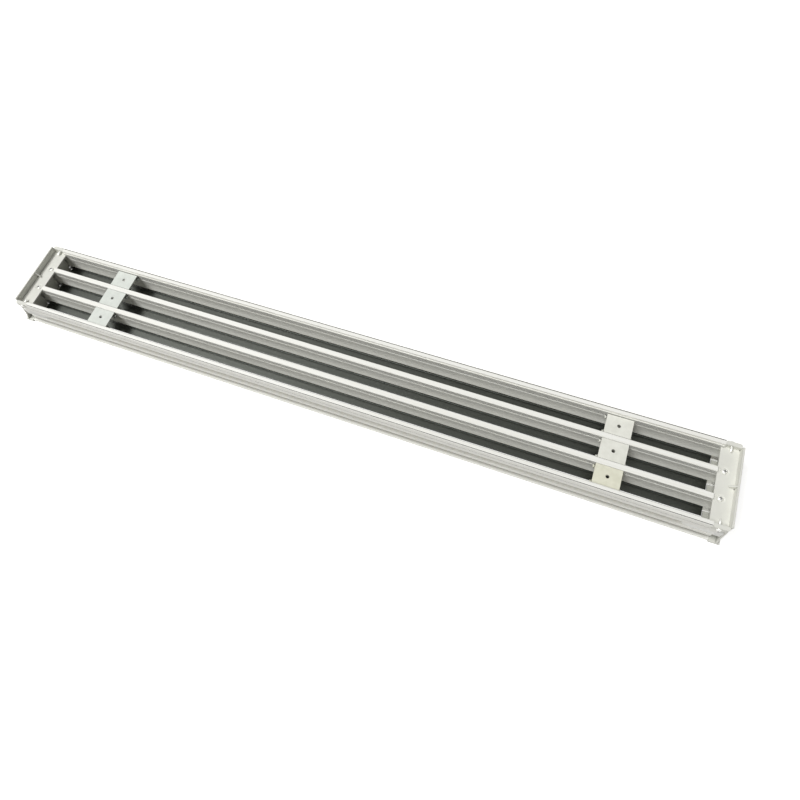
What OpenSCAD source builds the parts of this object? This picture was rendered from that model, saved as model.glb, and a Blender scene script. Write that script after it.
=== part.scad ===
// Linear slot diffuser with three slots, lying on its face with the back of the slots upwards.
// X runs along the slots, Y across them and Z up from the face. The origin is at the middle of the face.
// Two outer rails and two hollow bars are extrusions; moulded end caps close their ends.
// Each slot has a pair of hinged blades, and hooked spacer clips keep the bars apart.

/* [Overall] */
// Length over the end plates
length = 1000; // [700:5:1500]
// Distance between the centre lines of the two bars
bar_pitch = 34; // [32:0.5:42]
// Clear width of the two outer slots
outer_slot_w = 26; // [25:0.5:34]

/* [Bars] */
// Width of a bar
bar_w = 7; // [6:0.25:9]
// Height of a bar above the face
bar_h = 38; // [36:0.5:46]
// Thickness of a bar's side walls
bar_wall = 1.5; // [1:0.1:2]
// Thickness of a bar's top wall
bar_top_wall = 2.5; // [2:0.1:3]
// Height of the solid foot under a bar's chamber
bar_foot_h = 8; // [7:0.25:10]
// Chamfer on the long edges
edge_chamfer = 0.5; // [0.2:0.05:0.8]

/* [Ledges and grooves] */
// Depth of the ledge tops below the bar tops
ledge_drop = 9.6; // [9:0.1:12]
// Reach of a ledge into the slot
ledge_reach = 0.5; // [0.4:0.05:1]
// Height of a ledge
ledge_h = 1.2; // [0.8:0.1:2]
// Number of fine grooves above each ledge
groove_count = 4; // [1:1:4]
// Distance from one groove to the next
groove_pitch = 1.8; // [1.4:0.1:2]
// Width of a groove
groove_w = 0.6; // [0.3:0.05:0.8]
// Depth of a groove
groove_depth = 0.5; // [0.2:0.05:0.6]

/* [Coves] */
// Reach into the slot of the cove above the blades
cove_reach = 2; // [1.2:0.1:2.4]
// Height of the cove's underside above the face
cove_low = 8.7; // [8.2:0.1:10]
// Height of the cove's tip
cove_tip = 0.8; // [0.5:0.05:1.2]
// Height of the cove's hollow, from its tip up to the plain side
cove_h = 10.5; // [8:0.25:14]

/* [Rails] */
// Thickness of a rail's web
rail_web = 2; // [1.5:0.1:3]
// Height of the inner shoulder above the bar tops
shoulder_rise = 1.5; // [0.5:0.1:3]
// Width of the inner shoulder beside the lip
shoulder_w = 1.3; // [0.8:0.1:1.6]
// Height of the lip above the bar tops
lip_rise = 4.6; // [3.5:0.1:6]
// Reach of the lip and the lower rib from the slot
lip_reach = 7.5; // [6.5:0.1:9]
// Depth of the lip's lower edge below the bar tops
lip_depth = 14; // [13:0.25:15]
// Thickness of the walls round the lip's chamber
lip_wall = 2; // [1.8:0.1:2.2]
// Depth of the line along the lip's outer face below the bar tops
lip_line_drop = 5.3; // [2:0.1:8]
// Distance from the lip's outer face to the line along its top
lip_line_in = 0.6; // [0.5:0.05:1]
// Width of the lines along the lip
lip_line_w = 1; // [0.4:0.05:1.2]
// Depth of the lines along the lip
lip_line_depth = 1.2; // [0.3:0.05:1.4]
// Height of the top of the lower rib above the face
rib_top = 11; // [9:0.25:12]
// Height of the underside of the lower rib above the face
rib_low = 5.5; // [4:0.25:7]
// Thickness of the face flange
flange_t = 3; // [2:0.1:3.5]
// Reach of a rail's face flange from the slot
flange_reach = 11.5; // [9.5:0.25:14]

/* [Blades and hinges] */
// Radius of the bead along a blade's hinged edge
bead_r = 1.6; // [1.2:0.05:1.8]
// Running clearance between a bead and its socket
bead_gap = 0.3; // [0.2:0.05:0.4]
// Thickness of a socket's wall
socket_wall = 1.2; // [0.8:0.1:1.4]
// Distance from the side of a bar or rail to the hinge axis
axis_off = 1.3; // [1.1:0.05:1.6]
// Thickness of a blade
blade_t = 1.6; // [1:0.1:1.8]
// Gap between the free edges of a pair of blades
blade_pair_gap = 1.5; // [1:0.1:4]
// Mean gap between a blade's ends and the slot's end walls
blade_end_gap = 6.5; // [4:0.1:10]
// How far the blades lie nearer to the left-hand end
blade_shift = 2; // [0:0.1:3]

/* [Spacer clips] */
// Distance from the end caps' floors to the centres of the spacer clips
spacer_in = 116.2; // [60:0.2:250]
// Length of a spacer clip along the slot
spacer_len = 32; // [20:1:60]
// Thickness of a spacer clip's plate
spacer_t = 1.4; // [1:0.1:2]
// Depth of the spacer clips below the bar tops
spacer_drop = 0.6; // [0.2:0.1:1.5]
// Thickness of a clip's legs
spacer_leg_t = 1.2; // [0.8:0.1:1.4]
// Gap between a clip's legs and the sides of its slot
spacer_gap = 0.2; // [0.1:0.05:0.3]
// Inner radius of the curl at the foot of a leg
curl_r = 1.4; // [1:0.1:1.6]
// Length of the straight tip beyond the curl
curl_tip = 1; // [0.4:0.1:2]
// Diameter of the hole in a spacer clip
spacer_hole_d = 4.4; // [3:0.1:6]

/* [End caps] */
// Depth of an end cap from its end plate's outer face to the slots
cap_depth = 22.8; // [20:0.2:30]
// Thickness of the end plate and of the slots' end walls
cap_wall = 2; // [1.5:0.1:3]
// Depth of the cap's floor below the bar tops
floor_drop = 2.5; // [1.5:0.1:3.5]
// Thickness of the cap's floor
floor_t = 2.5; // [2:0.1:4]
// Reach of the cap's floor past the slots' end walls
floor_overhang = 9.3; // [8:0.1:12]
// Length of the sill in front of a slot's end wall
sill_len = 7; // [5:0.1:7.5]
// Gap between a sill and the blades above it
sill_gap = 0.5; // [0.3:0.05:0.8]
// Height of the upstand above the bar tops
upstand_rise = 7; // [5:0.25:10]
// Half width of the upstand
upstand_half_w = 49.6; // [46:0.2:52]
// Length of the rib behind the upstand
gusset_len = 7; // [4:0.25:9]
// Thickness of the rib behind the upstand
gusset_t = 1.8; // [1.2:0.1:3]
// Reach of the end plate's foot beyond its outer face
foot_reach = 2.5; // [1:0.1:5]
// Reach of the end plate's foot beyond the rails' flanges
foot_side_reach = 1.5; // [0.5:0.1:3]
// Distance from the lips' outer faces in to the upper corners of the end plate's wings
wing_in = 2; // [1:0.1:4]
// Depth of the wings' upper corners below the cap's floor
wing_drop = 5.5; // [3:0.25:8]
// Gap between a rail's end and the end plate
rail_end_gap = 8; // [6:0.25:9]
// Length of the curbs that carry the lips on over the caps
curb_len = 17.8; // [16:0.2:18]
// Width of the curbs
curb_w = 5.2; // [4:0.1:7]
// Depth of the curbs' tops below the lips' tops
curb_drop = 0.8; // [0:0.1:2]
// Chamfer at the curbs' outer corners
curb_chamfer = 1.5; // [0.5:0.1:2]
// Clearance between the caps and the bars and rails
cap_gap = 0.2; // [0.1:0.05:0.3]

/* [Corner keys] */
// Length of a key inside its rail
key_len = 34; // [24:1:60]
// Thickness of a key
key_t = 4.6; // [3.5:0.1:5]
// Distance from one barb to the next
barb_pitch = 3; // [2:0.1:5]
// Depth of a barb
barb_depth = 0.9; // [0.4:0.05:1.4]
// Chamfer at a key's inner tip
key_chamfer = 3; // [1:0.1:3.5]
// Clearance round a key
key_gap = 0.2; // [0.1:0.05:0.4]

/* [Fasteners] */
// Diameter of the screws' shanks
screw_d = 3.2; // [2.5:0.1:3.4]
// Clearance round a shank
screw_gap = 0.15; // [0.1:0.05:0.3]
// Diameter of the bar screws' heads
bar_head_d = 6.6; // [5.5:0.1:8]
// Diameter of the corner screws' heads
corner_head_d = 5.6; // [5:0.1:7]
// Height of the screw heads
head_h = 2.2; // [1.5:0.1:2.6]
// Depth of a bar screw below the cap's floor
bar_screw_len = 10; // [6:0.5:16]
// Diameter of the dimple round a bar screw
dimple_d = 11; // [9:0.25:13]
// Depth of the dimple round a bar screw
dimple_depth = 0.7; // [0.3:0.1:1]
// Reach of a corner screw's tip beyond the curb
corner_tip = 7; // [4:0.25:9]
// Distance from the end plate to the bar screws
bar_screw_in = 13; // [11:0.25:16]
// Distance from the end plate to the corner screws
corner_screw_in = 10.5; // [8:0.25:13]
// Width of the cross recess in a head
recess_w = 0.9; // [0.5:0.05:1.2]
// Length of the cross recess in a head
recess_len = 3.8; // [2:0.1:4]
// Diameter of the cross recess's centre
recess_core_d = 2.8; // [1.4:0.1:3]
// Depth of the cross recess in a head
recess_depth = 1.6; // [0.6:0.1:1.8]

/* [Hidden] */
$fn = 48;
SPACERS = ["left_front_spacer", "left_middle_spacer", "left_rear_spacer",
           "right_front_spacer", "right_middle_spacer", "right_rear_spacer"];
BLADES = ["front_near_blade", "front_far_blade", "middle_near_blade",
          "middle_far_blade", "rear_near_blade", "rear_far_blade"];
KEYS = ["left_front_key", "left_rear_key", "right_front_key", "right_rear_key"];

ALUMINIUM = [0.86, 0.87, 0.85];
MOULDED = [0.90, 0.90, 0.87];
CLIP = [0.88, 0.89, 0.86];
BLACK = [0.09, 0.09, 0.09];
STEEL = [0.80, 0.80, 0.79];

// Overlap that keeps cuts and joined shapes from sharing a face
eps = 0.01;

// Places along X
half_len = length / 2;
plate_in = half_len - cap_wall;
slot_end = half_len - cap_depth;
rail_end = plate_in - rail_end_gap;
curb_in = plate_in - curb_len;
wall_x = slot_end + floor_overhang;
sill_x = wall_x - sill_len;
blade_half_len = wall_x - blade_end_gap;
spacer_x = slot_end - spacer_in;

// Places across Y
bar_y = bar_pitch / 2;
mid_slot_w = bar_pitch - bar_w;
rail_y = bar_y + bar_w / 2 + outer_slot_w;
outer_slot_y = rail_y - outer_slot_w / 2;
lip_y = rail_y + lip_reach;
flange_y = rail_y + flange_reach;
foot_y = flange_y + foot_side_reach;
curb_y = lip_y - curb_w;

// Heights above the face
socket_r = bead_r + bead_gap;
axis_z = socket_r + socket_wall;
sill_top = axis_z - blade_t / 2 - sill_gap;
lip_top = bar_h + lip_rise;
lip_low = bar_h - lip_depth;
ledge_top = bar_h - ledge_drop;
ledge_low = ledge_top - ledge_h;
floor_top = bar_h - floor_drop;
floor_low = floor_top - floor_t;
spacer_top = bar_h - spacer_drop;

// Radius of the cove's hollow
cove_r = (cove_reach * cove_reach + cove_h * cove_h) / (2 * cove_reach);

// The socket is open from just below the closed blade to just behind the fully raised one
mouth_low = -35;
mouth_high = 115;

// Shares of a screw head's diameter at its shoulder and at its crown
shoulder_share = 0.84;
crown_share = 0.56;

// Share of the barbs' pitch that their steep backs take
barb_back = 0.3;

// Slots from front to rear: centre and clear width
SLOTS = [[-outer_slot_y, outer_slot_w], [0, mid_slot_w], [outer_slot_y, outer_slot_w]];

// Sweeps a section drawn in Y and Z along X
module along_x(x0, x1) {
  translate([x0, 0, 0]) rotate([90, 0, 90]) linear_extrude(height = x1 - x0) children();
}

// Wall of the hinge socket, with the side of the bar at y = 0 and the slot towards +y
module socket_section() {
  r = socket_r + socket_wall;
  far = 2 * r;
  translate([axis_off, axis_z]) difference() {
    circle(r = r);
    polygon([[0, 0],
             far * [cos(mouth_low), sin(mouth_low)],
             [far, far],
             far * [cos(mouth_high), sin(mouth_high)]]);
  }
}

// Ledge that the spacer clips stand on
module ledge_section() {
  translate([-eps, ledge_low]) square([ledge_reach + eps, ledge_h]);
}

// Cove that turns the side outwards above the blade
module cove_section() {
  translate([0, cove_low]) difference() {
    translate([-eps, 0]) square([cove_reach + eps, cove_tip + cove_h]);
    translate([cove_r, cove_tip + cove_h]) circle(r = cove_r, $fn = 240);
  }
}

// What is cut from the side of a bar or rail: the bead's bore and the fine grooves
module side_cuts() {
  translate([axis_off, axis_z]) circle(r = socket_r);
  for (i = [0 : groove_count - 1])
    translate([-groove_depth, ledge_top + groove_pitch * (i + 0.5)])
      square([groove_depth + eps, groove_w]);
}

// Section of a bar, centred on Y
module bar_section() {
  half = bar_w / 2;
  difference() {
    union() {
      polygon([[-half, 0], [half, 0], [half, bar_h - edge_chamfer], [half - edge_chamfer, bar_h],
               [edge_chamfer - half, bar_h], [-half, bar_h - edge_chamfer]]);
      for (side = [0, 1]) mirror([side, 0]) translate([half, 0]) {
        socket_section();
        cove_section();
        ledge_section();
      }
    }
    for (side = [0, 1]) mirror([side, 0]) translate([half, 0]) side_cuts();
    translate([bar_wall - half, bar_foot_h])
      square([bar_w - 2 * bar_wall, bar_h - bar_top_wall - bar_foot_h]);
  }
}

// Section of a rail, with its slot side at y = 0 and its outer side towards +y
module rail_section() {
  lip_w = lip_reach - shoulder_w;
  difference() {
    union() {
      square([rail_web, bar_h + shoulder_rise]);
      translate([0, lip_low]) square([lip_reach - edge_chamfer, bar_h + shoulder_rise - lip_low]);
      translate([shoulder_w, 0])
        polygon([[0, lip_low], [lip_w - edge_chamfer, lip_low], [lip_w, lip_low + edge_chamfer],
                 [lip_w, lip_top - edge_chamfer], [lip_w - edge_chamfer, lip_top],
                 [edge_chamfer, lip_top], [0, lip_top - edge_chamfer]]);
      translate([0, rib_low]) square([lip_reach, rib_top - rib_low]);
      polygon([[0, 0], [flange_reach - edge_chamfer, 0], [flange_reach, edge_chamfer],
               [flange_reach, flange_t - edge_chamfer], [flange_reach - edge_chamfer, flange_t],
               [0, flange_t]]);
      mirror([1, 0]) {
        socket_section();
        cove_section();
        ledge_section();
      }
    }
    mirror([1, 0]) side_cuts();
    translate([shoulder_w + lip_wall, lip_low + lip_wall])
      square([lip_w - 2 * lip_wall, lip_top - lip_low - 2 * lip_wall]);
    translate([lip_reach - lip_line_depth, bar_h - lip_line_drop])
      square([lip_line_depth + eps, lip_line_w]);
    translate([lip_reach - lip_line_in - lip_line_w, lip_top - lip_line_depth])
      square([lip_line_w, lip_line_depth + eps]);
  }
}

// Outer rail at the rear; the front one is its mirror image
module rail() {
  color(ALUMINIUM) difference() {
    translate([0, rail_y, 0]) along_x(-rail_end, rail_end) rail_section();
    for (side = [-1, 1])
      translate([side * (curb_in - cap_gap + half_len / 2), rail_y, floor_low - cap_gap + bar_h / 2])
        cube([half_len, 3 * lip_reach, bar_h], center = true);
  }
}

module rear_rail() {
  rail();
}

module front_rail() {
  mirror([0, 1, 0]) rail();
}

// Hollow bar between two slots, cut down at both ends to pass under the caps' floors
module bar(y) {
  color(ALUMINIUM) translate([0, y, 0]) difference() {
    along_x(-plate_in, plate_in) bar_section();
    for (side = [-1, 1])
      translate([side * (slot_end - cap_gap + half_len / 2), 0, floor_low + bar_h / 2])
        cube([half_len, 2 * bar_w, bar_h], center = true);
  }
}

// Blade section with its hinge axis at the origin and its free edge towards +y
module blade_section(width) {
  circle(r = bead_r);
  translate([0, -blade_t / 2]) square([width - blade_t / 2, blade_t]);
  translate([width - blade_t / 2, 0]) circle(r = blade_t / 2);
}

// One of a slot's two blades; side is -1 for the near blade and 1 for the far one
module blade(slot, side) {
  axis_y = slot[1] / 2 - axis_off;
  color(BLACK) translate([-blade_shift, slot[0] + side * axis_y, axis_z])
    mirror([0, side > 0 ? 1 : 0, 0])
      along_x(-blade_half_len, blade_half_len) blade_section(axis_y - blade_pair_gap / 2);
}

// Section of a spacer clip: a plate with two legs that stand on the ledges and curl inwards
module spacer_section(slot_w) {
  half = slot_w / 2 - spacer_gap;
  leg_h = spacer_top - ledge_top;
  translate([-half, leg_h - spacer_t]) square([2 * half, spacer_t]);
  for (side = [0, 1]) mirror([side, 0]) translate([half - spacer_leg_t, 0]) {
    square([spacer_leg_t, leg_h]);
    translate([-curl_r, curl_r + spacer_leg_t]) difference() {
      circle(r = curl_r + spacer_leg_t);
      circle(r = curl_r);
      translate([-2 * curl_r, 0]) square([4 * curl_r + 2 * spacer_leg_t, 2 * curl_r + spacer_leg_t]);
    }
    translate([-2 * curl_r - spacer_leg_t, curl_r + spacer_leg_t - eps])
      square([spacer_leg_t, curl_tip + eps]);
  }
}

module spacer(x, slot) {
  color(CLIP) translate([x, slot[0], ledge_top]) difference() {
    along_x(-spacer_len / 2, spacer_len / 2) spacer_section(slot[1]);
    cylinder(d = spacer_hole_d, h = 2 * bar_h);
  }
}

// Outline of the end plate: a wide foot, wings that narrow upwards, and the upstand
module end_plate_outline() {
  wing_low = lip_y + foot_side_reach;
  half_outline = [[foot_y, 0], [foot_y, flange_t], [wing_low, rib_top],
                  [lip_y - wing_in, floor_low - wing_drop], [upstand_half_w, floor_low],
                  [upstand_half_w, bar_h + upstand_rise]];
  polygon(concat(half_outline, [for (i = [len(half_outline) - 1 : -1 : 0])
    [-half_outline[i][0], half_outline[i][1]]]));
}

// End wall of one slot, which narrows downwards to pass between the ledges, coves and hinge sockets,
// with a sill under the ends of the blades that runs on to the end plate
module slot_end_wall(slot) {
  half = slot[1] / 2 - cap_gap;
  half_mid = half - max(ledge_reach, cove_reach);
  half_low = half - axis_off - socket_r - socket_wall;
  step_z = axis_z + socket_r + socket_wall + cap_gap;
  translate([sill_x, slot[0] - half_low, cap_gap])
    cube([plate_in - sill_x + eps, 2 * half_low, sill_top - cap_gap]);
  translate([0, slot[0], 0]) along_x(wall_x, wall_x + cap_wall) {
    translate([-half, ledge_top + cap_gap]) square([2 * half, floor_top - ledge_top - cap_gap]);
    translate([-half_mid, step_z]) square([2 * half_mid, floor_top - step_z]);
    translate([-half_low, cap_gap]) square([2 * half_low, floor_top - cap_gap]);
  }
}

// Slim curb that carries a rail's lip on over the cap, with the hole for the corner screw
module curb() {
  difference() {
    translate([0, 0, floor_low]) linear_extrude(height = lip_top - curb_drop - floor_low)
      polygon([[curb_in, curb_y], [plate_in + eps, curb_y],
               [plate_in + eps, lip_y - curb_chamfer], [plate_in - curb_chamfer, lip_y],
               [curb_in + curb_chamfer, lip_y], [curb_in, lip_y - curb_chamfer]]);
    translate([plate_in - corner_screw_in, lip_y, bar_h])
      rotate([90, 0, 0]) cylinder(d = screw_d + 2 * screw_gap, h = 4 * lip_reach, center = true);
  }
}

// Stretch of the cap's floor from x0 to x1
module floor_plate(x0, x1, half_w) {
  translate([x0, -half_w, floor_low]) cube([x1 - x0, 2 * half_w, floor_t]);
}

// Cap at the right-hand end; the left one is its mirror image
module end_cap() {
  color(MOULDED) difference() {
    union() {
      along_x(plate_in, half_len) end_plate_outline();
      floor_plate(slot_end, curb_in + eps, rail_y - cap_gap);
      floor_plate(curb_in, half_len - eps, curb_y + eps);
      for (slot = SLOTS) slot_end_wall(slot);
      for (side = [0, 1]) mirror([0, side, 0]) {
        curb();
        cheek();
        foot_side();
      }
      translate([half_len - eps, -foot_y, 0]) cube([foot_reach + eps, 2 * foot_y, flange_t]);
      gusset();
    }
    for (side = [-1, 1]) translate([plate_in - bar_screw_in, side * bar_y, floor_top]) {
      translate([0, 0, -floor_t - eps]) cylinder(d = screw_d + 2 * screw_gap, h = floor_t);
      translate([0, 0, -dimple_depth]) cylinder(d1 = bar_head_d, d2 = dimple_d, h = dimple_depth + eps);
    }
  }
}

// Short side wall between a rail's cut end and the end plate
module cheek() {
  x0 = rail_end + cap_gap;
  translate([x0, rail_y, 0]) cube([plate_in - x0 + eps, rail_web, floor_top]);
}

// Foot that carries a rail's face flange on to the corner
module foot_side() {
  x0 = rail_end + cap_gap;
  translate([x0, rail_y, 0]) cube([plate_in - x0 + eps, foot_y - rail_y, flange_t]);
}

// Small rib between the floor and the upstand
module gusset() {
  rise = bar_h + upstand_rise - floor_top - edge_chamfer;
  translate([plate_in + eps, gusset_t / 2, floor_top - eps]) rotate([90, 0, 0])
    linear_extrude(height = gusset_t)
      polygon([[0, 0], [-gusset_len, 0], [-gusset_len, gusset_t], [0, rise]]);
}

module right_end_cap() {
  end_cap();
}

module left_end_cap() {
  mirror([1, 0, 0]) end_cap();
}

// Barbed key in the channel of a rail, standing against the end plate; drawn for the right rear corner
module key() {
  x0 = rail_end - key_len;
  y0 = rail_y + rail_web + key_gap;
  y1 = y0 + key_t;
  barbs = floor((key_len - key_chamfer) / barb_pitch);
  outline = concat([[plate_in, y0], [x0, y0], [x0, y1 - key_chamfer], [x0 + key_chamfer, y1]],
    [for (i = [0 : barbs - 1], step = [0, 1])
      [x0 + key_chamfer + (i + (step == 0 ? barb_back : 1)) * barb_pitch,
       step == 0 ? y1 - barb_depth : y1]],
    [[plate_in, y1]]);
  color(MOULDED) translate([0, 0, rib_top + key_gap])
    linear_extrude(height = lip_low - rib_top - 2 * key_gap) polygon(outline);
}

// Pan head with a cross recess, its underside at the origin and its top towards +z
module screw_head(d) {
  r = d / 2;
  rim = head_h / 3;
  difference() {
    rotate_extrude()
      polygon([[0, 0], [r, 0], [r, rim], [shoulder_share * r, 2 * rim],
               [crown_share * r, head_h], [0, head_h]]);
    for (turn = [0, 90])
      rotate(turn) translate([0, 0, head_h]) cube([recess_len, recess_w, 2 * recess_depth], center = true);
    translate([0, 0, head_h - recess_depth])
      cylinder(d1 = recess_w, d2 = recess_core_d, h = recess_depth + eps);
  }
}

// Screws that hold the caps' floors down on the bars
module bar_screws() {
  color(STEEL) for (x = [-1, 1], y = [-1, 1])
    translate([x * (plate_in - bar_screw_in), y * bar_y, floor_top - dimple_depth]) {
      screw_head(bar_head_d);
      translate([0, 0, dimple_depth - floor_t - bar_screw_len])
        cylinder(d = screw_d, h = floor_t - dimple_depth + bar_screw_len + eps);
    }
}

// Screws driven in through the curbs, with their tips showing above the caps' floors
module corner_screws() {
  shank = curb_w + corner_tip;
  color(STEEL) for (x = [-1, 1], y = [-1, 1])
    translate([x * (plate_in - corner_screw_in), y * lip_y, bar_h]) rotate([-90 * y, 0, 0]) {
      screw_head(corner_head_d);
      translate([0, 0, screw_d - shank]) cylinder(d = screw_d, h = shank - screw_d + eps);
      translate([0, 0, -shank]) cylinder(d1 = screw_d / 4, d2 = screw_d, h = screw_d + eps);
    }
}

front_rail();
rear_rail();
bar(-bar_y);  // front_bar
bar(bar_y);  // rear_bar
left_end_cap();
right_end_cap();
for (i = [0 : 5])
  spacer((i < 3 ? -1 : 1) * spacer_x, SLOTS[i % 3]);
for (i = [0 : 5])
  blade(SLOTS[floor(i / 2)], i % 2 == 0 ? -1 : 1);
for (i = [0 : 3])
  mirror([i < 2 ? 1 : 0, 0, 0]) mirror([0, i % 2 == 0 ? 1 : 0, 0]) key();
bar_screws();
corner_screws();
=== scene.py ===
import math

import bpy
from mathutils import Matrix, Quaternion, Vector


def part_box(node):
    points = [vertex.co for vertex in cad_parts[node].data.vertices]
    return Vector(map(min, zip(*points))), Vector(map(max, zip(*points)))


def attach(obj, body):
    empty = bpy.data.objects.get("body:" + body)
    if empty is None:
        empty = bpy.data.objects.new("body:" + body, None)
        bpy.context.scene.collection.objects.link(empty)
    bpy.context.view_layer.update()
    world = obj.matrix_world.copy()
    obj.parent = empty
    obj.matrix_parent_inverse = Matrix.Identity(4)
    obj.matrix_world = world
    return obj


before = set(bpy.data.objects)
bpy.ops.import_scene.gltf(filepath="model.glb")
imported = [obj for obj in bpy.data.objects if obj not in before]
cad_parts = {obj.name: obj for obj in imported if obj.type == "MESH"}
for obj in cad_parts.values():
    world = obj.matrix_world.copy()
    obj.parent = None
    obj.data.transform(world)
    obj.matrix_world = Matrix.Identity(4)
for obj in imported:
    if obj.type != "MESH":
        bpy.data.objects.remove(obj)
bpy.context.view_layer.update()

# One millimetre, in the scene's metres
MM = 0.001

# Curled ends of the clips' legs: the place of a curl's middle, in from the foot's outer corner,
# and a curl's rounded section as pairs of the distance beyond the clip's end and from the middle
CURL_IN_MM = 2.6
CURL_SECTION_MM = ((-0.3, 2.1), (1.3, 2.1), (1.6, 2.0), (1.8, 1.75),
                   (1.8, 1.45), (1.65, 1.2), (1.4, 1.1), (-0.3, 1.1))
CURL_STEPS = 32

# Heights above the face, up to which painted shade is laid: the top of the rails' outward channels,
# and the cap floors' underside
CHANNEL_TOP_MM = 24
CAP_FLOOR_MM = 33

# Reach of the painted shade in the extrusions' grooves
BAR_GROOVE_MM = 1.4
RAIL_GROOVE_MM = 1.8

# Sizes of the patterns along X, Y and Z. Die, blade and roller lines, mould grit and tumbling marks
# are really a few tenths of a millimetre wide, and are drawn as coarse as they need to show
DIE_LINES_MM = (300, 1.5, 1.5)
BLADE_LINES_MM = (200, 2.0, 2.0)
ROLLER_LINES_MM = (14, 0.8, 0.8)
ROLLER_CLOUDS_MM = (9, 9, 9)
MOULD_GRIT_MM = (0.9, 0.9, 0.9)
CAP_FLOW_MM = (30, 30, 30)
KEY_FLOW_MM = (6, 6, 6)
TUMBLING_MARKS_MM = (1.2, 1.2, 1.2)

# Range that most of a noise stays in, strength of every relief, and roughness of dust on a blade
NOISE_LOW, NOISE_HIGH = 0.3, 0.7
RELIEF_STRENGTH = 0.2
DUST_ROUGHNESS = 0.95

# Rays that look for hollows and for edges
HOLLOW_RAYS = 8
EDGE_RAYS = 4

# Sockets of the Mix node, which has one set for numbers and one for colours
MIX_SHARE = 0
NUMBER_A, NUMBER_B, NUMBER_OUT = 2, 3, 0
COLOUR_A, COLOUR_B, COLOUR_OUT = 6, 7, 2

# Camera: the 800 x 800 picture's focal length and principal point are in pixels
PICTURE_PX = 800
FOCAL_PX = 613.41
PRINCIPAL_PX = (370, 381)
SENSOR_MM = 36
CAMERA_NEAR_MM = 10
CAMERA_PLACE_MM = (235.5, -303.9, 763.0)
CAMERA_AZIMUTH = 32.023
CAMERA_ELEVATION = 64.148
CAMERA_ROLL = -12.315

# Light: a window high on the left, a wide panel above the front left, and a dim room all round
WINDOW_AIM = (-0.48, 0.02, 0.88)
WINDOW_POWER = 350
WINDOW_SIZE_MM = 2000
WINDOW_DISTANCE_MM = 9000
PANEL_AIM = (-0.32, -0.42, 0.85)
PANEL_POWER = 1750
PANEL_SIZE_MM = 10000
PANEL_DISTANCE_MM = 18000
ROOM_LIGHT = 0.15

# Floor: its drop keeps it clear of the face, and its lift turns it white where it is looked at
FLOOR_SIZE_MM = 4000
FLOOR_DROP_MM = 0.1
FLOOR_LIFT = 0.7


def linear(hex_colour):
    """Linear colour of an sRGB hex value."""
    channels = [int(hex_colour[i:i + 2], 16) / 255 for i in (1, 3, 5)]
    return [c / 12.92 if c <= 0.04045 else ((c + 0.055) / 1.055) ** 2.4 for c in channels] + [1.0]


def add(tree, kind, values=None, links=None, **settings):
    """Adds a node: settings are its fields, values its sockets' numbers, links their sources."""
    node = tree.nodes.new(kind)
    for name, value in settings.items():
        setattr(node, name, value)
    for socket, value in (values or {}).items():
        node.inputs[socket].default_value = value
    for socket, source in (links or {}).items():
        tree.links.new(source, node.inputs[socket])
    return node


def new_material(name):
    """A material and its node tree, which is still empty."""
    material = bpy.data.materials.new(name)
    material.use_nodes = True
    material.node_tree.nodes.clear()
    return material, material.node_tree


def grain(tree, size_mm, detail=3.0):
    """Noise whose cells have the given size along X, Y and Z in millimetres."""
    place = add(tree, "ShaderNodeTexCoord")
    stretch = add(tree, "ShaderNodeMapping", {"Scale": [1 / (s * MM) for s in size_mm]},
                  {"Vector": place.outputs["Object"]})
    noise = add(tree, "ShaderNodeTexNoise", {"Scale": 1.0, "Detail": detail, "Roughness": 0.55},
                {"Vector": stretch.outputs["Vector"]})
    return noise.outputs["Fac"]


def between(tree, share, low, high):
    """Maps a noise, which stays near its middle, onto the range from low to high."""
    span = add(tree, "ShaderNodeMapRange",
               {"From Min": NOISE_LOW, "From Max": NOISE_HIGH, "To Min": low, "To Max": high},
               {"Value": share})
    return span.outputs["Result"]


def two_tone(tree, share, dark, light):
    """Colour that wanders between two sRGB hex values."""
    tone = add(tree, "ShaderNodeMix", {COLOUR_A: linear(dark), COLOUR_B: linear(light)},
               {MIX_SHARE: between(tree, share, 0.0, 1.0)}, data_type="RGBA")
    return tone.outputs[COLOUR_OUT]


def openness(tree, reach_mm, full, none, alone):
    """Zero in hollows narrower than the reach, one in the open. Full and none are the shares of
    open air where the painted shade, and on the blades the dust, is full and where it ends. Alone
    leaves out the hollows between pieces."""
    hollow = add(tree, "ShaderNodeAmbientOcclusion", {"Distance": reach_mm * MM},
                 samples=HOLLOW_RAYS, only_local=alone)
    share = add(tree, "ShaderNodeMapRange", {"From Min": full, "From Max": none},
                {"Value": hollow.outputs["AO"]})
    return share.outputs["Result"]


def shaded_in_hollows(tree, colour, shade_colour, reach_mm, full=0.3, none=0.55, top_mm=None, alone=True):
    """The colour, darkened towards a painted shade colour in its hollows, up to a height above
    which it is left as it is.
    """
    open_share = openness(tree, reach_mm, full, none, alone)
    if top_mm:
        place = add(tree, "ShaderNodeTexCoord")
        axes = add(tree, "ShaderNodeSeparateXYZ", None, {"Vector": place.outputs["Object"]})
        above = add(tree, "ShaderNodeMath", {1: top_mm * MM}, {0: axes.outputs["Z"]},
                    operation="GREATER_THAN")
        higher = add(tree, "ShaderNodeMath", None, {0: open_share, 1: above.outputs[0]},
                     operation="MAXIMUM")
        open_share = higher.outputs[0]
    mixed = add(tree, "ShaderNodeMix", {COLOUR_A: linear(shade_colour)},
                {MIX_SHARE: open_share, COLOUR_B: colour}, data_type="RGBA")
    return mixed.outputs[COLOUR_OUT]


def relief(tree, height, depth_mm, edge_mm):
    """Normal of a fine relief on a surface whose edges are slightly rounded."""
    edges = add(tree, "ShaderNodeBevel", {"Radius": edge_mm * MM}, samples=EDGE_RAYS)
    bump = add(tree, "ShaderNodeBump", {"Strength": RELIEF_STRENGTH, "Distance": depth_mm * MM},
               {"Height": height, "Normal": edges.outputs["Normal"]})
    return bump.outputs["Normal"]


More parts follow.
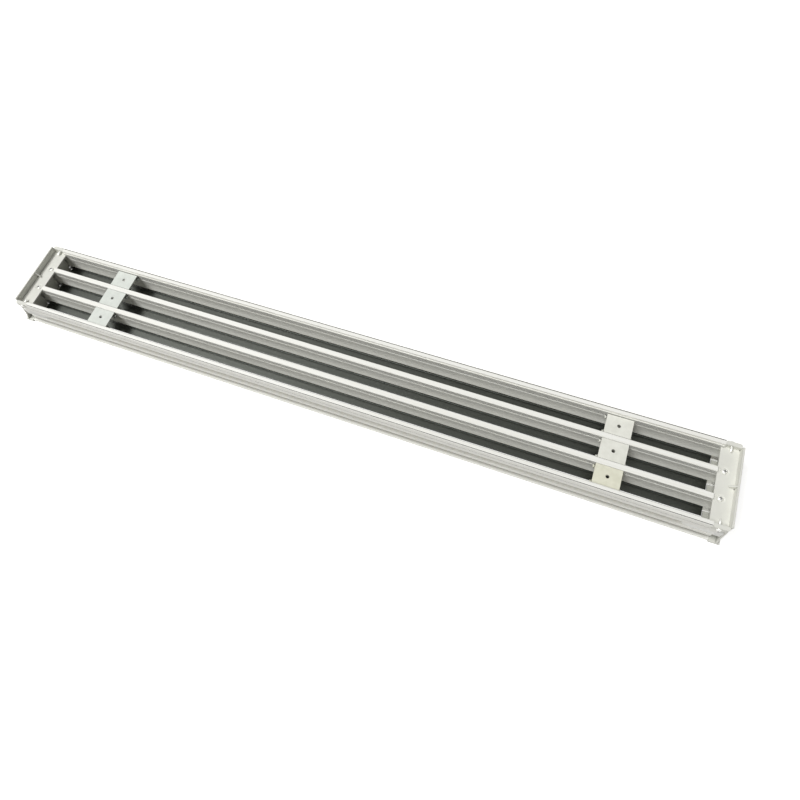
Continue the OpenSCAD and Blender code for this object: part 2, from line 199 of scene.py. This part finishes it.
def surface(tree, values, links):
    """The shader and the output."""
    shader = add(tree, "ShaderNodeBsdfPrincipled", values, links)
    add(tree, "ShaderNodeOutputMaterial", None, {"Surface": shader.outputs["BSDF"]})


def extruded_aluminium(name, groove_mm, shade_top_mm):
    """Clear-anodised aluminium from the press: pale and satin, streaked along X by the die,
    with near-black painted shade in its grooves and, on the rails, grey painted shade in the
    channels below the lips."""
    material, tree = new_material(name)
    streaks = grain(tree, DIE_LINES_MM, detail=4.0)
    pale = two_tone(tree, streaks, "#ebeae2", "#f6f6f1")
    if shade_top_mm:
        # Painted shade: grey laid over the rails' outward channels below their top, where the lips
        # shade them
        pale = shaded_in_hollows(tree, pale, "#a8a69e", reach_mm=12, full=0.35, none=0.8, top_mm=shade_top_mm)
    surface(tree, {"Metallic": 0.06, "Specular IOR Level": 0.22},
            # Painted shade: near-black darkening in the extrusions' grooves
            {"Base Color": shaded_in_hollows(tree, pale, "#33312d", groove_mm),
             "Roughness": between(tree, streaks, 0.42, 0.52),
             "Normal": relief(tree, streaks, depth_mm=0.06, edge_mm=0.15)})
    return material


def clip_aluminium(name, dark, light):
    """Pressed aluminium sheet: matt and pale, with faint clouding from the roller,
    and painted shade as thin dark seams along the bars and dark corners at the legs."""
    material, tree = new_material(name)
    clouds = grain(tree, ROLLER_CLOUDS_MM, detail=5.0)
    rolled = grain(tree, ROLLER_LINES_MM)
    pale = two_tone(tree, clouds, dark, light)
    # Painted shade: a thin dark line where the clip meets the bars
    seamed = shaded_in_hollows(tree, pale, "#3c3b36", reach_mm=1.2, full=0.72, none=0.96, alone=False)
    # Painted shade: dark corners at the legs and in the curls
    cornered = shaded_in_hollows(tree, seamed, "#2e2e2a", reach_mm=3.0, full=0.3, none=0.6, alone=False)
    surface(tree, {"Metallic": 0.05, "Specular IOR Level": 0.2},
            {"Base Color": cornered,
             "Roughness": between(tree, clouds, 0.5, 0.65),
             "Normal": relief(tree, rolled, depth_mm=0.04, edge_mm=0.5)})
    return material


def end_cap_plastic():
    """Moulded ABS: off-white and softly glossy, with a faint mould texture,
    and painted shade on the slots' end walls below its floor and in its hollows."""
    material, tree = new_material("end_cap_plastic")
    flow = grain(tree, CAP_FLOW_MM)
    texture = grain(tree, MOULD_GRIT_MM)
    pale = two_tone(tree, flow, "#dbdbd3", "#e3e3db")
    # Painted shade: grey over the slots' end walls below the cap floor, deep in the slots
    walls_shaded = shaded_in_hollows(tree, pale, "#9fa098", reach_mm=25, full=0.1, none=0.56,
                    top_mm=CAP_FLOOR_MM, alone=False)
    surface(tree, {"IOR": 1.53, "Specular IOR Level": 0.25},
            # Painted shade: dark in the cap's hollows
            {"Base Color": shaded_in_hollows(tree, walls_shaded, "#55544d", reach_mm=2.5),
             "Roughness": between(tree, texture, 0.38, 0.5),
             "Normal": relief(tree, texture, depth_mm=0.03, edge_mm=0.5)})
    return material


def key_plastic():
    """Moulded nylon: white and waxy."""
    material, tree = new_material("key_plastic")
    flow = grain(tree, KEY_FLOW_MM)
    surface(tree, {"IOR": 1.53},
            {"Base Color": two_tone(tree, flow, "#eeeeea", "#f8f8f5"),
             "Roughness": between(tree, flow, 0.4, 0.55)})
    return material


def blade_plastic():
    """Extruded black PVC: dark, with a thin shiny skin over a broad satin gloss,
    which a line of dust takes away along the hinge."""
    material, tree = new_material("blade_plastic")
    streaks = grain(tree, BLADE_LINES_MM, detail=4.0)
    open_share = openness(tree, reach_mm=4.5, full=0.58, none=0.78, alone=False)
    gloss = add(tree, "ShaderNodeMix", {NUMBER_A: DUST_ROUGHNESS},
                {MIX_SHARE: open_share, NUMBER_B: between(tree, streaks, 0.33, 0.38)})
    surface(tree, {"IOR": 1.5, "Specular IOR Level": 0.95, "Specular Tint": linear("#f5fbf1"),
                   "Coat Weight": 0.1, "Coat Roughness": 0.06},
            {"Base Color": two_tone(tree, streaks, "#0f110f", "#161814"),
             "Roughness": gloss.outputs[NUMBER_OUT]})
    return material


def screw_steel():
    """Zinc-plated steel: bright, with fine tumbling marks, and painted shade down in the driver's
    recess.
    """
    material, tree = new_material("screw_steel")
    marks = grain(tree, TUMBLING_MARKS_MM)
    plated = two_tone(tree, marks, "#e4e4e0", "#f2f2ee")
    surface(tree, {"Metallic": 0.7},
            # Painted shade: near black down in the driver's recess
            {"Base Color": shaded_in_hollows(tree, plated, "#24231f", reach_mm=2.0),
             "Roughness": between(tree, marks, 0.3, 0.45),
             "Normal": relief(tree, marks, depth_mm=0.02, edge_mm=0.3)})
    return material


def looked_at(tree):
    """One for a ray from the camera, a gloss or a clear piece, zero for one that carries light."""
    path = add(tree, "ShaderNodeLightPath")
    seen = add(tree, "ShaderNodeMath", None,
               {0: path.outputs["Is Camera Ray"], 1: path.outputs["Is Glossy Ray"]},
               operation="MAXIMUM")
    seen = add(tree, "ShaderNodeMath", None,
               {0: seen.outputs[0], 1: path.outputs["Is Transmission Ray"]},
               operation="MAXIMUM")
    return seen.outputs[0]


def paper_floor():
    """White paper: lit by the lamps, and lifted to background white where it is looked at."""
    material, tree = new_material("paper_floor")
    paper = add(tree, "ShaderNodeBsdfDiffuse", {"Color": linear("#cfcecb")})
    lift = add(tree, "ShaderNodeMath", {1: FLOOR_LIFT}, {0: looked_at(tree)}, operation="MULTIPLY")
    white = add(tree, "ShaderNodeEmission", None, {"Strength": lift.outputs[0]})
    both = add(tree, "ShaderNodeAddShader", None, {0: paper.outputs[0], 1: white.outputs[0]})
    add(tree, "ShaderNodeOutputMaterial", None, {"Surface": both.outputs[0]})
    return material


def light_room():
    """White behind the object and in its reflections, dim for everything else."""
    world = bpy.data.worlds.new("room")
    world.use_nodes = True
    tree = world.node_tree
    tree.nodes.clear()
    white = linear("#ffffff")
    dim = add(tree, "ShaderNodeBackground", {"Color": white, "Strength": ROOM_LIGHT})
    bright = add(tree, "ShaderNodeBackground", {"Color": white, "Strength": 1.0})
    mixed = add(tree, "ShaderNodeMixShader", None,
                {0: looked_at(tree), 1: dim.outputs[0], 2: bright.outputs[0]})
    add(tree, "ShaderNodeOutputWorld", None, {"Surface": mixed.outputs[0]})
    bpy.context.scene.world = world


def soft_lamp(name, aim, power, size_mm, distance_mm):
    """A soft square lamp, turned towards the object."""
    data = bpy.data.lights.new(name, "AREA")
    data.shape = "SQUARE"
    data.size = size_mm * MM
    data.energy = power
    lamp = bpy.data.objects.new(name, data)
    aim = Vector(aim).normalized()
    lamp.location = aim * distance_mm * MM
    lamp.rotation_mode = "QUATERNION"
    lamp.rotation_quaternion = (-aim).to_track_quat("-Z", "Y")
    bpy.context.scene.collection.objects.link(lamp)


def lay_floor():
    """Floor under the face."""
    half, low = FLOOR_SIZE_MM * MM / 2, -FLOOR_DROP_MM * MM
    corners = [(-half, -half, low), (half, -half, low), (half, half, low), (-half, half, low)]
    mesh = bpy.data.meshes.new("floor")
    mesh.from_pydata(corners, [], [(0, 1, 2, 3)])
    mesh.materials.append(paper_floor())
    floor = bpy.data.objects.new("floor", mesh)
    bpy.context.scene.collection.objects.link(floor)


def place_camera():
    """Camera at the photograph's place, turn and lens."""
    data = bpy.data.cameras.new("camera")
    data.sensor_width = SENSOR_MM
    data.lens = FOCAL_PX / PICTURE_PX * SENSOR_MM
    data.shift_x = 0.5 - PRINCIPAL_PX[0] / PICTURE_PX
    data.shift_y = PRINCIPAL_PX[1] / PICTURE_PX - 0.5
    data.clip_start = CAMERA_NEAR_MM * MM
    camera = bpy.data.objects.new("camera", data)
    azimuth, elevation = math.radians(CAMERA_AZIMUTH), math.radians(CAMERA_ELEVATION)
    back = Vector((math.sin(azimuth) * math.cos(elevation),
                   -math.cos(azimuth) * math.cos(elevation),
                   math.sin(elevation)))
    level = (-back).to_track_quat("-Z", "Y")
    camera.rotation_mode = "QUATERNION"
    camera.rotation_quaternion = level @ Quaternion((0, 0, 1), math.radians(CAMERA_ROLL))
    camera.location = Vector(CAMERA_PLACE_MM) * MM
    bpy.context.scene.collection.objects.link(camera)
    bpy.context.scene.camera = camera


def curl_ends(clip, material):
    """The ends of a clip's curled legs, which show beyond the plate as small rings."""
    low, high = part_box(clip)
    points, faces = [], []
    for x, along in ((low[0], -1), (high[0], 1)):
        for y in (low[1] + CURL_IN_MM * MM, high[1] - CURL_IN_MM * MM):
            first, ring = len(points), len(CURL_SECTION_MM)
            for step in range(CURL_STEPS):
                turn = along * math.tau * step / CURL_STEPS
                for beyond, radius in CURL_SECTION_MM:
                    points.append((x + along * beyond * MM,
                                   y + radius * MM * math.cos(turn),
                                   low[2] + (CURL_IN_MM + radius * math.sin(turn)) * MM))
            for step in range(CURL_STEPS):
                here, there = first + step * ring, first + (step + 1) % CURL_STEPS * ring
                for i in range(ring):
                    j = (i + 1) % ring
                    faces.append((here + i, there + i, there + j, here + j))
    mesh = bpy.data.meshes.new(clip + "_curl_ends")
    mesh.from_pydata(points, [], faces)
    mesh.materials.append(material)
    for face in mesh.polygons:
        face.use_smooth = True
    piece = bpy.data.objects.new(clip + "_curl_ends", mesh)
    bpy.context.scene.collection.objects.link(piece)
    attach(piece, "frame")


def dress(names, material):
    """Gives CAD nodes a material."""
    for name in names:
        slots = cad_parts[name].data.materials
        slots.clear()
        slots.append(material)


def ending(end):
    """Names of the CAD nodes that end with a word."""
    return [name for name in sorted(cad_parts) if name.endswith(end)]


bpy.context.scene.view_settings.view_transform = "Standard"
place_camera()
light_room()
soft_lamp("window", WINDOW_AIM, WINDOW_POWER, WINDOW_SIZE_MM, WINDOW_DISTANCE_MM)
soft_lamp("panel", PANEL_AIM, PANEL_POWER, PANEL_SIZE_MM, PANEL_DISTANCE_MM)
lay_floor()

dress(ending("_bar"), extruded_aluminium("bar_aluminium", BAR_GROOVE_MM, None))
dress(ending("_rail"), extruded_aluminium("rail_aluminium", RAIL_GROOVE_MM, CHANNEL_TOP_MM))
dress(ending("_end_cap"), end_cap_plastic())
dress(ending("_key"), key_plastic())
dress(ending("_blade"), blade_plastic())
dress(ending("_screws"), screw_steel())

# The clips at the right end are warmer in tone than those at the left, and the middle and rear ones
# are painted lighter to stand in for the light that falls on them; the front one is yellow
dress(ending("_spacer"), clip_aluminium("clip_aluminium", "#d3d7d0", "#e0e4dd"))
dress(["right_middle_spacer", "right_rear_spacer"],
      clip_aluminium("clip_aluminium_warm_painted_lighter", "#dfdfd5", "#ebebe2"))
dress(["right_front_spacer"], clip_aluminium("clip_aluminium_yellowed", "#d9d8c4", "#e6e5d3"))
for clip in ending("_spacer"):
    curl_ends(clip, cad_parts[clip].data.materials[0])
